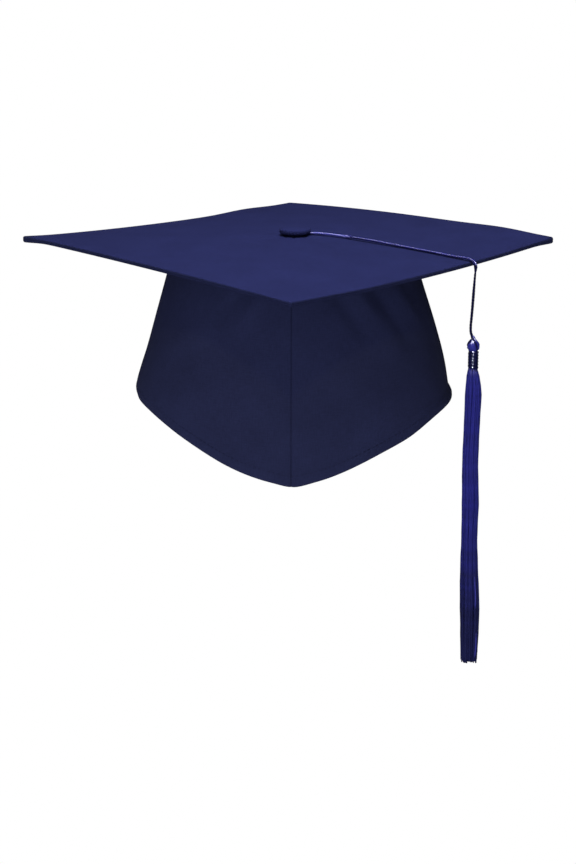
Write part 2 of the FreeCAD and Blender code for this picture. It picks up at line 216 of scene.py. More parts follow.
def cloth_material(name, colour, thread=0.42, sheen=0.015, rough=0.9, bump=0.35, blotch=0.10):
    """Plain-woven cloth. The weave follows the mesh's grain attribute, in mm along warp and weft."""
    material, tree, shader = new_material(name)
    grain = node(tree, "Attribute", attribute_name="grain").outputs["Vector"]
    split = node(tree, "SeparateXYZ", {0: grain}).outputs
    turn = math.pi / thread
    weave = maths(
        tree, "MULTIPLY", *[maths(tree, "SINE", maths(tree, "MULTIPLY", split[axis], turn)) for axis in ("X", "Y")]
    )
    # slubs: noise drawn out along each thread direction
    along, across = (noise(tree, grain, 0.55, 2.0, 0.6, way) for way in ((0.35, 2.6, 1.0), (2.6, 0.35, 1.0)))
    slub = maths(tree, "ADD", along, across)
    tone = maths(tree, "MULTIPLY", maths(tree, "SUBTRACT", slub, 1.0), 0.9)
    tone = maths(tree, "ADD", tone, maths(tree, "MULTIPLY", weave, 0.10))
    tone = maths(tree, "ADD", tone, noise(tree, grain, 0.035, 3.0, 0.55))
    shades = ((0.0, 1 - 2 * blotch), (0.5, 1), (1.0, 1 + 2 * blotch))
    height = maths(tree, "ADD", maths(tree, "MULTIPLY", weave, 0.5), maths(tree, "MULTIPLY", slub, 0.6))
    put(tree, shader, {
        "Base Color": ramp(tree, tone, [(place, scaled(colour, shade)) for place, shade in shades]),
        "Roughness": rough,
        "Specular IOR Level": 0.03,
        "Sheen Weight": sheen,
        "Sheen Roughness": 0.45,
        "Sheen Tint": (0.3, 0.35, 1.0, 1.0),
        "Normal": bumped(tree, height, bump, 0.00025),
    })
    return material


def thread_material(name, colour, rough, specular, fade=None, bump=0.4, ior=1.5, dark=None):
    """Rayon thread: fine fibres along the strand, from the grain attribute (x round it, y along it, mm).

    fade is where a slow darkening along it starts and ends, and how deep it is; dark is its darkest colour.
    """
    material, tree, shader = new_material(name)
    grain = node(tree, "Attribute", attribute_name="grain").outputs["Vector"]
    fibres = noise(tree, grain, 2.2, 3.0, 0.6, (3.0, 0.12, 1.0))
    patches = noise(tree, grain, 0.12, 2.0)
    tone = maths(tree, "ADD", maths(tree, "MULTIPLY", fibres, 0.6), maths(tree, "MULTIPLY", patches, 0.4))
    if fade:
        start, end, depth = fade
        down = node(tree, "SeparateXYZ", {0: grain}).outputs["Y"]
        values = {"Value": down, "From Min": start, "From Max": end, "To Min": 0.0, "To Max": depth}
        drop = node(tree, "MapRange", values, interpolation_type="SMOOTHSTEP")
        tone = maths(tree, "SUBTRACT", tone, drop.outputs[0])
    stops = [(0.2, dark or scaled(colour, 0.55)), (0.5, colour), (0.8, scaled(colour, 1.6))]
    put(tree, shader, {
        "Base Color": ramp(tree, tone, stops),
        "Roughness": rough,
        "Specular IOR Level": specular,
        "IOR": ior,
        "Specular Tint": (0.80, 0.80, 1.0, 1.0),
        "Normal": bumped(tree, fibres, bump, 0.0001),
    })
    return material


def grained_material(name, colour, metallic, rough, stretch=(40, 40, 40)):
    """Metal or card, from object coordinates."""
    material, tree, shader = new_material(name)
    place = node(tree, "TexCoord").outputs["Object"]
    grains = noise(tree, place, 12.0, 4.0, stretch=stretch)
    dyed = ramp(tree, grains, [(0.3, scaled(colour, 0.88)), (0.7, scaled(colour, 1.12))])
    normal = bumped(tree, grains, 0.15, 0.0002)
    put(tree, shader, {"Base Color": dyed, "Metallic": metallic, "Roughness": rough, "Normal": normal})
    return material


BOARD_CLOTH = cloth_material("board_cloth", (0.0098, 0.0120, 0.0510))
CAP_CLOTH = cloth_material("cap_cloth", (0.0115, 0.0140, 0.042))
# a darker copy of the board's cloth for the edge band and the side corners: painted shade
EDGE_SHADE_CLOTH = cloth_material("edge_painted_shade_cloth", (0.0070, 0.0088, 0.031))
UNDER_CLOTH = cloth_material("under_cloth", (0.010, 0.012, 0.036))
LINING = cloth_material("lining_cloth", (0.011, 0.013, 0.036), thread=0.3, rough=0.6)
FELT = cloth_material("interlining_felt", (0.022, 0.024, 0.045), thread=0.9, sheen=0.3, rough=0.95, blotch=0.2)
ELASTIC = cloth_material("elastic_knit", (0.012, 0.013, 0.03), thread=0.8, rough=0.7, bump=0.6)
CORD = thread_material("tassel_cord", (0.022, 0.022, 0.20), rough=0.3, specular=0.9, ior=1.8)
# a darker copy of the cord's colour for the strand on the shaded side: painted shade
CORD_SHADE = thread_material("tassel_cord_shade", (0.005, 0.005, 0.05), rough=0.4, specular=0.12)
# a darker copy of the cord's colour for its hanging stretch: painted shade
HANGING_CORD_SHADE = thread_material("tassel_cord_hanging_painted_shade", (0.003, 0.003, 0.022), rough=0.45, specular=0.10)
COLLAR = thread_material("tassel_collar", (0.003, 0.0035, 0.030), rough=0.18, specular=1.0, bump=0.05, ior=1.8)
HEAD = thread_material("tassel_head", (0.014, 0.015, 0.165), rough=0.32, specular=1.0, bump=0.2, ior=1.6)
# a darker copy of the head's colour for some of its loops: painted shade
HEAD_SHADE = thread_material("tassel_head_painted_shade", (0.003, 0.003, 0.03), rough=0.3, specular=0.4, bump=0.2)
STRANDS = thread_material(
    "tassel_strands", (0.0120, 0.0130, 0.125), rough=0.42, specular=0.14, fade=(90, 185, 0.36),
    dark=(0.0080, 0.0092, 0.046),
)
THREAD = thread_material("sewing_thread", (0.009, 0.011, 0.036), rough=0.7, specular=0.05)
CARD = grained_material("card", (0.30, 0.27, 0.22), 0.0, 0.85)
STEEL = grained_material("button_steel", (0.55, 0.56, 0.58), 1.0, 0.35, stretch=(20, 20, 200))
POST_STEEL = grained_material("post_steel", (0.05, 0.05, 0.055), 1.0, 0.55)
ALUMINIUM = grained_material("rivet_aluminium", (0.75, 0.76, 0.78), 1.0, 0.3)


# ---- mesh helpers
def piece(name, made, material, replaces=(), body="cap", close=False):
    """Object from points in mm, faces, and each point's grain: its place in mm along the threads."""
    points, faces, grain = made
    mesh = bpy.data.meshes.new(name)
    mesh.from_pydata((points * MM).tolist(), [], [tuple(int(i) for i in f) for f in faces])
    flat = np.zeros((len(points), 3), np.float32)
    flat[:, : grain.shape[1]] = grain
    mesh.attributes.new("grain", "FLOAT_VECTOR", "POINT").data.foreach_set("vector", flat.ravel())
    if close:
        work = bmesh.new()
        work.from_mesh(mesh)
        bmesh.ops.recalc_face_normals(work, faces=work.faces)
        work.to_mesh(mesh)
        work.free()
    mesh.polygons.foreach_set("use_smooth", [True] * len(mesh.polygons))
    mesh.materials.append(material)
    shown = bpy.data.objects.new(name, mesh)
    scene.collection.objects.link(shown)
    if body:
        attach(shown, body)
    if replaces:
        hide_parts(*replaces)
    return shown


def lattice(rows, columns, wrap_rows=False, wrap_columns=False):
    """Quads of a grid of rows x columns points stored row by row."""
    faces = []
    for i in range(rows if wrap_rows else rows - 1):
        for j in range(columns if wrap_columns else columns - 1):
            a, b = i * columns + j, i * columns + (j + 1) % columns
            c, d = ((i + 1) % rows) * columns + (j + 1) % columns, ((i + 1) % rows) * columns + j
            faces.append((a, b, c, d))
    return faces


def ringed(rings, grain):
    """Points, faces and grain of closed rings that follow one another."""
    return np.vstack(rings), lattice(len(rings), len(rings[0]), wrap_columns=True), np.vstack(grain)


def smooth(t):
    t = np.clip(t, 0, 1)
    return t * t * (3 - 2 * t)


def bump_at(x, centre, width):
    return np.exp(-(((x - centre) / width) ** 2))


def hermite(x, xs, ys):
    """Smooth curve through a few points, level at x = 0."""
    xs, ys = np.array(xs, float), np.array(ys, float)
    slope = np.gradient(ys, xs)
    slope[0] = 0 if xs[0] == 0 else slope[0]
    i = np.clip(np.searchsorted(xs, x) - 1, 0, len(xs) - 2)
    h = xs[i + 1] - xs[i]
    t = np.clip((x - xs[i]) / h, 0, 1)
    return (
        (2 * t**3 - 3 * t**2 + 1) * ys[i]
        + (t**3 - 2 * t**2 + t) * h * slope[i]
        + (3 * t**2 - 2 * t**3) * ys[i + 1]
        + (t**3 - t**2) * h * slope[i + 1]
    )


def circle(around):
    return np.linspace(0, math.tau, around, endpoint=False)


def run_along(line):
    """Distance along a line of points, at each of them."""
    return np.concatenate([[0], np.cumsum(np.linalg.norm(np.diff(line, axis=0), axis=1))])


def round_axis(x, y, radius, angle, z):
    """Points round an upright axis at x, y."""
    return np.stack(np.broadcast_arrays(x + radius * np.cos(angle), y + radius * np.sin(angle), z), axis=-1)


def frames_along(line, side):
    """Tangent, side and up vectors along a line of points, carried without twist."""
    tangent = np.gradient(line, axis=0)
    tangent /= np.linalg.norm(tangent, axis=1)[:, None]
    sides = np.zeros_like(line)
    now = np.array(side, float)
    for i, t in enumerate(tangent):
        now = now - (now @ t) * t
        now /= np.linalg.norm(now)
        sides[i] = now
    return tangent, sides, np.cross(tangent, sides)


def tube(line, radius, around=10, lobes=0, twist=0.0, depth=0.12, side=(0.31, 0.87, 0.38)):
    """Points, faces and grain of a tube along a line in mm, fluted into twisted plies, with round ends."""
    radius = np.broadcast_to(np.asarray(radius, float), (len(line),))
    along = run_along(line)
    tangent, sides, ups = frames_along(line, side)
    angle = circle(around)
    plies = depth * np.cos(lobes * angle + twist * along[:, None]) if lobes else 0 * angle
    ring = radius[:, None] * (1 + plies)
    points = (
        line[:, None, :]
        + sides[:, None, :] * (ring * np.cos(angle))[:, :, None]
        + ups[:, None, :] * (ring * np.sin(angle))[:, :, None]
    ).reshape(-1, 3)
    grain = np.stack(np.broadcast_arrays(angle * radius.mean(), along[:, None]), axis=2).reshape(-1, 2)
    faces = lattice(len(line), around, wrap_columns=True)
    count = len(points)
    ends = np.array([line[0] - tangent[0] * radius[0] * 0.6, line[-1] + tangent[-1] * radius[-1] * 0.6])
    points = np.vstack([points, ends])
    grain = np.vstack([grain, [[0, 0], [0, along[-1]]]])
    last = (len(line) - 1) * around
    for j in range(around):
        k = (j + 1) % around
        faces.append((count, k, j))
        faces.append((count + 1, last + j, last + k))
    return points, faces, grain


def joined(parts):
    """Several (points, faces, grain) put together as one."""
    points, faces, grain, first = [], [], [], 0
    for some_points, some_faces, some_grain in parts:
        points.append(some_points)
        grain.append(some_grain)
        faces += [tuple(i + first for i in f) for f in some_faces]
        first += len(some_points)
    return np.vstack(points), faces, np.vstack(grain)


def placed(line, along, at):
    """Points at distances at, on a line whose own points are along it."""
    return np.stack([np.interp(at, along, values) for values in line.T], axis=-1)


def resampled(line, step):
    """The line's points again, evenly spaced, and how far along it each is."""
    along = run_along(line)
    at = np.linspace(0, along[-1], max(2, int(math.ceil(along[-1] / step)) + 1))
    return placed(line, along, at), at


# ---- the tassel's cord
# Its route over the board: x, y and height over the board, as in the CAD
LEAD_ROUTE = ((3.8, 0.6, 0.95), (13.0, 2.6, 1.05), (25.0, -6.0, 1.6), (45.5, -19.4, 1.7))
LEAD_ROUTE += ((66.0, -33.2, 1.25), (86.0, -45.6, 1.15), (99.3, -54.2, 1.1))
CORD_ROUTE = [(x, y, board_height(x, y) + lift) for x, y, lift in LEAD_ROUTE]
# the corner stands proud of the edge, because the spline cuts inside it
CORD_ROUTE += [(111.8, -61.1, board_height(DROP_X, DROP_Y) + 1.9), (DROP_X + 0.7, DROP_Y, 87.0)]
CORD_ROUTE += [(DROP_X - 0.3, DROP_Y, 66.0), (DROP_X - 1.2, DROP_Y, HEAD_TOP_Z + 4.0)]
CORD_ROUTE += [(DROP_X + 0.4, DROP_Y, HEAD_TOP_Z), (DROP_X + 0.8, DROP_Y, HEAD_TOP_Z - 3.0)]


def nurbs_line(route):
    """Points along the smooth NURBS curve that has the route's points as its control points, in mm."""
    data = bpy.data.curves.new("route", "CURVE")
    data.dimensions = "3D"
    data.resolution_u = 24
    spline = data.splines.new("NURBS")
    spline.points.add(len(route) - 1)
    for point, place in zip(spline.points, route):
        point.co = (*[c * MM for c in place], 1)
    spline.order_u = 3
    spline.use_endpoint_u = True
    made = bpy.data.objects.new("route", data)
    mesh = bpy.data.meshes.new_from_object(made)
    line = np.array([v.co for v in mesh.vertices]) / MM
    bpy.data.meshes.remove(mesh)
    bpy.data.objects.remove(made)
    bpy.data.curves.remove(data)
    return line


STRAND = 0.55  # radius of one strand of the doubled cord
cord_line, cord_at = resampled(nurbs_line(CORD_ROUTE), 0.45)
ACROSS = np.array((0.49, 0.87, 0.0))
WHIP_PLACE = (np.array(CORD_ROUTE[2]) + CORD_ROUTE[3]) / 2
WHIP_AT, EDGE_AT = (
    float(cord_at[np.linalg.norm(cord_line - place, axis=1).argmin()]) for place in (WHIP_PLACE, np.array(PIVOT))
)
SHADE_X, SHADE_Z = 0.1, 0.0963  # beyond and below this the cord hangs in the board's shade, and is painted in a darker colour there: painted shade


def cord_strands():
    tangent, sides, ups = frames_along(cord_line, ACROSS)
    # side by side on the board, crossing at the whipping and over the edge, then one before the other
    turn = math.pi * smooth((cord_at - WHIP_AT + 4) / 8)
    turn += (math.pi - 0.15) * smooth((cord_at - EDGE_AT + 4) / 10)
    turn += (0.35 + 0.1 * np.sin((cord_at - EDGE_AT) / 9)) * smooth((cord_at - EDGE_AT - 6) / 14)
    apart = 0.56 + 0.24 * bump_at(cord_at, WHIP_AT * 0.55, WHIP_AT * 0.35) - 0.04 * bump_at(cord_at, WHIP_AT, 3)
    apart = apart + 0.16 * smooth((cord_at - WHIP_AT - 3) / 8) * smooth((EDGE_AT - 2 - cord_at) / 8)
    offset = sides * (np.cos(turn) * apart)[:, None] + ups * (np.sin(turn) * apart)[:, None]
    return joined([
        tube(cord_line + sign * offset, STRAND, around=12, lobes=3, twist=3.2 * sign, side=ACROSS) for sign in (1, -1)
    ])


cord = piece(
    "tassel_cord", cord_strands(), CORD, ("tassel_cord_lead", "tassel_cord_drop"), body=None, close=True
)
cord.data.materials.append(HANGING_CORD_SHADE)
cord.data.materials.append(CORD_SHADE)
whip_x = float(np.interp(WHIP_AT, cord_at, cord_line[:, 0])) * MM
for face in cord.data.polygons:
    if face.center.z < SHADE_Z and face.center.x > SHADE_X:
        face.material_index = 1
    elif face.index < len(cord.data.polygons) // 2 and face.center.x > whip_x:  # the strand on the shaded side gets a darker colour: painted shade
        face.material_index = 2
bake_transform(cord)

# ---- the board
CORNER_RADIUS = 1.8
BUTTON_P = (BUTTON_X - BOARD_X) / ROOT2  # the button's place along the board's two directions
BUTTON_Q = -BUTTON_P


def square_loop(inset, side_steps=46, arc_steps=6):
    """Rounded square inset from the board's edge, in mm along the board's two directions."""
    half = BOARD_SIDE / 2 - inset
    radius = max(CORNER_RADIUS - inset, 0.25)
    arcs = []
    for k in range(4):
        start = math.pi + k * math.pi / 2
        middle = np.array([math.cos(start + math.pi / 4), math.sin(start + math.pi / 4)])
        turn = np.linspace(start, start + math.pi / 2, arc_steps)
        arcs.append(middle * ROOT2 * (half - radius) + radius * np.stack([np.cos(turn), np.sin(turn)], 1))
    loop = []
    for k in range(4):
        loop.append(arcs[k])
        t = (0.5 - 0.5 * np.cos(np.linspace(0, math.pi, side_steps + 1)))[1:-1, None]
        loop.append(arcs[k][-1] * (1 - t) + arcs[(k + 1) % 4][0] * t)
    return np.vstack(loop)


CORNER_FOLDS = (  # which corner, how far its folded cloth stands out, how much thicker it is
    (1, -1, 1.3, 1.0), (-1, 1, 3.8, 1.2), (-1, -1, 0.3, 0.3), (1, 1, 0.3, 0.3),
)
# which of the two directions, where along the other, half width and height of a slack edge
EDGE_LIFTS = ((1, 71, 24, 1.3), (0, -82, 28, 1.2))
FRONT_SAG = (-52, 34, 0.2)  # the same for the right front edge, which hangs


def on_board(flat, below):
    """Points under or over the board's top face, from their place along its two directions."""
    half = BOARD_SIDE / 2
    off, below = np.zeros_like(flat), np.asarray(below, float) + 0 * flat[:, 0]
    depth = np.clip(below / BOARD_THICKNESS, 0, 1)
    for p, q, reach, thicker in CORNER_FOLDS:
        near = bump_at(np.hypot(flat[:, 0] - p * half, flat[:, 1] - q * half), 0, 11)
        off += near[:, None] * reach / ROOT2 * np.array([p, q])
        below = below + thicker * near * depth
    for axis, middle, width, height in EDGE_LIFTS:
        near = bump_at(flat[:, 1 - axis], middle, width) * bump_at(flat[:, axis], half, 35)
        below = below - height * near * (1 - depth)
    middle, width, height = FRONT_SAG
    below = below + height * bump_at(flat[:, 0], middle, width) * bump_at(flat[:, 1], -half, 25)
    flat = flat + off
    x = BOARD_X + (flat[:, 0] - flat[:, 1]) / ROOT2
    y = (flat[:, 0] + flat[:, 1]) / ROOT2
    return np.stack([x, y, board_height(x, y) - below], 1)


def top_relief(flat):
    """How far the cloth lies off a smooth board: puckers round the button, and slack."""
    p, q = flat[:, 0] - BUTTON_P, flat[:, 1] - BUTTON_Q
    r, a = np.hypot(p, q), np.arctan2(q, p)
    pucker = np.sin(9 * a + 1.1 * np.sin(2 * a + 0.4) + 0.5) + 0.5 * np.sin(17 * a + 2.0)
    made = 0.26 * pucker * bump_at(r, 0, 30) * (1 - bump_at(r, 0, 9)) - 0.40 * bump_at(r, 0, 13)
    made += 0.10 * np.sin(flat[:, 0] / 15 + 0.6 * np.sin(flat[:, 1] / 21)) * np.sin(flat[:, 1] / 17 + 1)
    return made


HOLE = 0.011  # how small the last ring is, round the button's post


def board_cloth(name, node_name, material, rows, steps, relief, inner_below=0.0):
    """Cloth over the board: rows of (inset, below) from its far side inwards, then steps down to the button."""
    centre = np.array([BUTTON_P, BUTTON_Q])
    flats = [square_loop(inset) for inset, _ in rows]
    belows = [np.full(len(flats[0]), below) for _, below in rows]
    last, low = flats[-1], belows[-1]
    for step in np.linspace(1, 0, steps + 1)[1:]:
        share = HOLE + (1 - HOLE) * step**1.35
        flats.append(centre + (last - centre) * share)
        fade = smooth((1 - share) / 0.06)
        belows.append(low * (1 - fade) + inner_below * fade - relief(flats[-1]) * fade)
    rings = [on_board(flat, below) for flat, below in zip(flats, belows)]
    made = piece(name, ringed(rings, flats), material, (node_name,))
    made.data.flip_normals()
    return made


EDGE_ROWS = [(13.5, 3.0), (9.5, 3.06), (6, 3.08), (3, 3.08), (1.5, 3.05), (0.75, 2.95), (0.28, 2.66), (0.05, 2.25)]
EDGE_ROWS += [(0.0, 1.9), (0.02, 1.7), (0.2, 1.5), (0.02, 1.3), (0.0, 1.0), (0.06, 0.7), (0.3, 0.34), (0.8, 0.09)]
EDGE_ROWS += [(1.5, 0.0)]
SHADED_TIP_X = 167  # the side corners get the painted shade beyond this, from the board's middle
board_top = board_cloth("board_top_cloth", "board_top_cover", BOARD_CLOTH, EDGE_ROWS, 56, top_relief)
board_top.data.materials.append(EDGE_SHADE_CLOTH)
shaded_band_faces = len(square_loop(0)) * (len(EDGE_ROWS) - 3)
for face in board_top.data.polygons:  # the band round the edge and the two side corners get a darker cloth colour: painted shade
    face.material_index = int(face.index < shaded_band_faces or abs(face.center.x / MM - BOARD_X) > SHADED_TIP_X)


def under_relief(flat):
    return -0.10 * np.sin(flat[:, 0] / 11 + 0.5) * np.sin(flat[:, 1] / 13)


UNDER_ROWS = [(11.5, 3.08), (10.0, 3.1), (9.5, 3.2), (9.3, 3.4), (9.35, 3.62)]
UNDER_ROWS += [(9.6, 3.8), (10.2, 3.86), (11.2, 3.8), (12.6, 3.55), (14.5, 3.45)]
board_cloth("board_under_cloth", "board_underside_cover", UNDER_CLOTH, UNDER_ROWS, 30, under_relief, 3.4)


def capsule(start, end, radius, lift, around=6):
    """One stitch: a short thread that rises to lift in its middle and dips at its ends."""
    start, end, lift = np.array(start), np.array(end), np.array(lift)
    t = np.linspace(0, 1, 6)[:, None]
    line = start * (1 - t) + end * t + lift * (np.sin(math.pi * t) ** 0.7 - 0.35)
    return tube(line, radius * np.array([0.6, 0.95, 1, 1, 0.95, 0.6]), around=around)


def under_stitches():
    loop = square_loop(9.3)
    outer = resampled(np.vstack([loop, loop[:1]]), 6.5)[0]
    inner = outer * (1 - 1.3 / np.abs(outer).max(1))[:, None]
    places = [on_board(np.array([far * 1.004, near]), 3.5) for far, near in zip(outer[:-1], inner[:-1])]
    return joined([capsule(*ends, 0.2, (0, 0, -0.55)) for ends in places])


piece("board_under_stitches", under_stitches(), THREAD, close=True)

# ---- the button
BUTTON_PROFILE = [(0.05, 5.0), (1.5, 4.99), (3, 4.97), (4.5, 4.94), (6, 4.88), (7.4, 4.80), (8.5, 4.68), (9.2, 4.50)]
BUTTON_PROFILE += [(9.65, 4.22), (9.95, 3.8), (10.1, 3.3), (10.12, 2.6), (10.0, 1.9), (9.7, 1.4), (9.1, 1.15)]
BUTTON_PROFILE += [(8.0, 1.15), (6.8, 1.5), (6.2, 2.2)]


def button_skin(around=180):
    """The cloth over the button: rings about its axis, gathered low down."""
    angle = circle(around)
    gather = np.sin(30 * angle + 0.8 * np.sin(5 * angle)) + 0.4 * np.sin(53 * angle)
    points, grain = [], []
    for (r, z), along in zip(BUTTON_PROFILE, run_along(np.array(BUTTON_PROFILE))):
        out = np.clip((r - 7.5) / 2.6, 0, 1)
        low = smooth((3.4 - z) / 1.4)
        radius = r + 0.13 * gather * low
        height = TOP_Z + z + 0.05 * gather * out * (1 - low) - 0.12 * np.abs(gather) * low * (r < 9)
        points.append(round_axis(BUTTON_X, 0.0, radius, angle, height))
        if len(grain) < len(BUTTON_PROFILE) * 0.55:
            grain.append(round_axis(0, 0, radius, angle, 0)[:, :2])
        else:
            grain.append(np.stack([angle * 10, np.full(around, along)], 1))
    return ringed(points, grain)


button = piece("button_cloth", button_skin(), BOARD_CLOTH, ("button_cover",))

for name, material in (
    ("board_insert", CARD), ("crown_stiffener", CARD), ("button_shell", STEEL), ("button_back_plate", STEEL),
    ("button_post", POST_STEEL), ("button_washer", ALUMINIUM),
):
    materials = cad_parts[name].data.materials
    materials.clear()
    materials.append(material)

# ---- the skullcap
FRONT_EDGE = ((0, -35.9), (14, -33.1), (42, -23.9), (70, -12.2), (86, -4.9), (97, -1.4), (112, -0.8))
BACK_EDGE_RISE = 6.0
HALF_WIDTH = 102.6
HALF_X = ((-45, 103.0), (-8, 102.8), (3, 102.6), (14, 101.0), (30, 96.3), (52, 90.1), (76, 82.9))
HALF_X += ((90, 78.9), (104, 74.8))
HALF_Y = ((-45, 93.6), (-8, 90.4), (9, 88.0), (30, 84.7), (52, 81.3), (76, 77.6), (104, 73.2))
SEAM_SHARE = -0.008  # the centre front seam is sewn a little to the left
HEM = 7.0  # the hem's stitches are this far above the lower edge
CLOTH = 0.7
FELT_THICK = 0.8


def half_axes(z):
    return tuple(hermite(z, *zip(*table)) for table in (HALF_X, HALF_Y))


def seam_turn(z):
    """Angle from the centre front to the side seam."""
    return np.arccos(-SIDE_SEAM_Y / half_axes(z)[1])


HALF_ROUND = np.linspace(0, math.pi, 721)
HALF_ARCS = run_along(np.stack([98 * np.sin(HALF_ROUND), -86 * np.cos(HALF_ROUND)], 1))


def arc_of(turn):
    """Distance round the skullcap from the centre front, in mm."""
    return np.sign(turn) * np.interp(np.abs(turn), HALF_ROUND, HALF_ARCS)


def edge_height(turn):
    """Height of the lower edge at an angle from the centre front."""
    signed = HALF_WIDTH * np.sin(turn)
    x = np.abs(signed)
    front = hermite(x, *zip(*FRONT_EDGE))
    front = front - 2.4 * bump_at(signed, 82, 20) - 0.8 * bump_at(signed, -38, 18) - 0.9 * bump_at(signed, -90, 13)
    back = FRONT_EDGE[-1][1] + BACK_EDGE_RISE * (1 - (x / 115) ** 2)
    seam = seam_turn(0.0)
    around = np.abs(np.mod(turn + math.pi, math.tau) - math.pi)
    # both meet at the side seams
    back = back + (-0.9 * (np.sin(turn) > 0) - BACK_EDGE_RISE * 0.2) * bump_at(around, seam, 0.3)
    return np.where(around < seam, front, back)


def top_height(turn):
    """Height of the seam under the board."""
    a, b = half_axes(np.array(100.0))
    return board_height(a * np.sin(turn), -b * np.cos(turn)) - 3.45


def ridge(arc, z, from_arc, from_z, to_arc, to_z, width, height):
    """A soft fold along a straight line on the cloth, fading at its ends."""
    run = np.array([to_arc - from_arc, to_z - from_z], float)
    long = np.hypot(*run)
    run /= long
    along = (arc - from_arc) * run[0] + (z - from_z) * run[1]
    away = -(arc - from_arc) * run[1] + (z - from_z) * run[0]
    ends = smooth((along + 0.2 * long) / (0.5 * long)) * smooth((1.3 * long - along) / (0.8 * long))
    return height * ends * bump_at(away, 0, width)


FRONT_FOLDS = (  # arc and height of the start and of the end, half width, height
    (-19, 88, -40, 58, 5.0, 1.3), (-30, 92, -52, 66, 5.0, -1.1), (-95, 40, -58, 60, 8.0, 0.8),
    (26, 88, 52, 52, 5.5, -1.3), (40, 92, 62, 62, 4.5, 1.0), (58, 90, 86, 46, 6.5, -1.6),
    (82, 84, 104, 52, 6.0, 1.1), (-24, 22, -10, -2, 3.2, 0.45), (-30, 14, -18, -8, 3.0, -0.35),
    (20, 4, 40, 14, 3.5, 0.45), (4, -20, 20, -11, 3.0, 0.35), (-88, 14, -52, -8, 5.0, 0.5),
)


def side_swell(turn, z):
    """The turned-up hem stands out at the sides, more and lower down on the right."""
    right = np.clip(np.sin(turn), 0, 1) ** 6
    left = np.clip(-np.sin(turn), 0, 1) ** 6
    made = right * (2.1 * smooth((4.5 - z) / 5.0) + 1.1 * smooth((z - 12) / 20))
    return made + left * (0.9 * bump_at(z, 6.5, 7.5) - 2.0 * smooth((5 - z) / 12))


def front_relief(turn, z, above):
    """How far the front's cloth stands out from its smooth shape."""
    arc = arc_of(turn)
    from_seam = arc - SEAM_SHARE * arc_of(seam_turn(0.0))
    made = -0.42 * bump_at(from_seam, 0, 0.65) + 0.14 * bump_at(np.abs(from_seam), 3.0, 2.0)
    side = np.abs(arc) - arc_of(seam_turn(0.0))
    made += -0.7 * bump_at(side, 0, 1.0) + 0.2 * bump_at(side, -3, 2)
    hem = 1 - smooth((above - HEM + 0.5) / 3.0)
    made += 0.45 * hem - 0.45 * bump_at(above, HEM, 0.8)
    made -= 0.9 * smooth((HEM - above) / HEM) * smooth((1.35 - np.abs(turn)) / 0.35)
    made += 0.10 * np.sin(arc * 1.45 + 0.6 * np.sin(arc * 0.31)) * bump_at(above, HEM, 4)
    for fold in FRONT_FOLDS:
        made += ridge(arc, z, *fold)
    made += 0.35 * np.sin(arc / 19 + 0.7) * np.sin(z / 23 + 0.4) + 0.15 * np.sin(arc / 8 + z / 13)
    return made + side_swell(turn, z)


def back_relief(turn, z, above):
    """The back is gathered by its elastic, so it ripples, less towards the top and the side seams."""
    arc = arc_of(turn)
    around = np.mod(turn, math.tau)
    from_back = np.abs(around - math.pi)
    middle = smooth((1.35 - from_back) / 0.35)
    waves = np.sin(around * 34 + 1.2 * np.sin(around * 7)) + 0.45 * np.sin(around * 57 + 1.0)
    fade = bump_at(np.maximum(above, 16), 16, 24)
    made = 1.05 * waves * middle * fade
    made += -0.9 * middle * (1 - smooth((above - 17) / 9)) - 0.5 * bump_at(above, 20.5, 0.9) * middle
    made += 0.4 * np.sin(around * 11 + 0.6) * np.sin(z / 21)
    side = (from_back - (math.pi - seam_turn(0.0))) * 95
    return made - 0.7 * bump_at(side, 0, 1.0) + 0.2 * bump_at(side, -3, 2) + side_swell(turn, z)


def front_turns(share, z):
    return share * seam_turn(z)


def back_turns(share, z):
    start = seam_turn(z)
    return start + share * (math.tau - 2 * start)


def wall(name, node_name, material, slot, sheet, turns, shares, low, high, outer, inner, relief, rows):
    """Closed cloth wall round part of the skullcap: shares run round it, low and high give its edges' heights."""
    first = turns(shares, np.zeros(len(shares)))
    bottom, top = low(first), high(first)
    half = (outer - inner) / 2
    down = np.linspace(0, 1, rows) ** 0.9
    loop = [(t, outer, 0.0) for t in down]
    loop += [(1.0, (outer + inner) / 2 + half * math.cos(a), -half * math.sin(a)) for a in (0.7, 1.57, 2.44)]
    loop += [(t, inner, 0.0) for t in down[::-1]]
    points, grain = [], []
    for t, outward, drop in loop:
        z = top + t * (bottom + half - top) + drop
        turn = turns(shares, z)
        off = outward + relief(turn, z, z - bottom)
        a, b = half_axes(z)
        points.append(np.stack([(a + off) * np.sin(turn), -(b + off) * np.cos(turn), z], 1))
        arc = arc_of(np.mod(turn + math.pi, math.tau) - math.pi) if turns is front_turns else 98 * turn
        grain.append(np.stack([arc, z], 1))
    faces = lattice(len(loop), len(shares), wrap_rows=True)
    count = len(shares)
    for column, flip in ((0, False), (count - 1, True)):
        for k in range(rows - 1):
            a, b = k * count + column, (k + 1) * count + column
            c, d = (len(loop) - 2 - k) * count + column, (len(loop) - 1 - k) * count + column
            faces.append((a, b, c, d) if flip else (d, c, b, a))
        ring = [(rows - 1 + k) * count + column for k in range(5)]
        faces.append(tuple(ring) if flip else tuple(reversed(ring)))
    made = piece(name, (np.vstack(points), faces, np.vstack(grain)), material, (node_name,), close=True)


def no_relief(turn, z, above):
    return 0 * z


def spaced_shares(start, end, count, near=()):
    """Even shares with more of them near the given places."""
    made = list(np.linspace(start, end, count))
    for place in near:
        made += [place + d for d in (-0.022, -0.016, -0.011, -0.007, -0.004, 0.004, 0.007, 0.011, 0.016, 0.022)]
    return np.array(sorted({round(min(max(m, start), end), 4) for m in made}))


def inside(relief, share=0.6):
    return lambda turn, z, above: relief(turn, z, above) * share


def over_edge(height):
    return lambda turn: edge_height(turn) + height


def under_top(drop):
    return lambda turn: top_height(turn) - drop


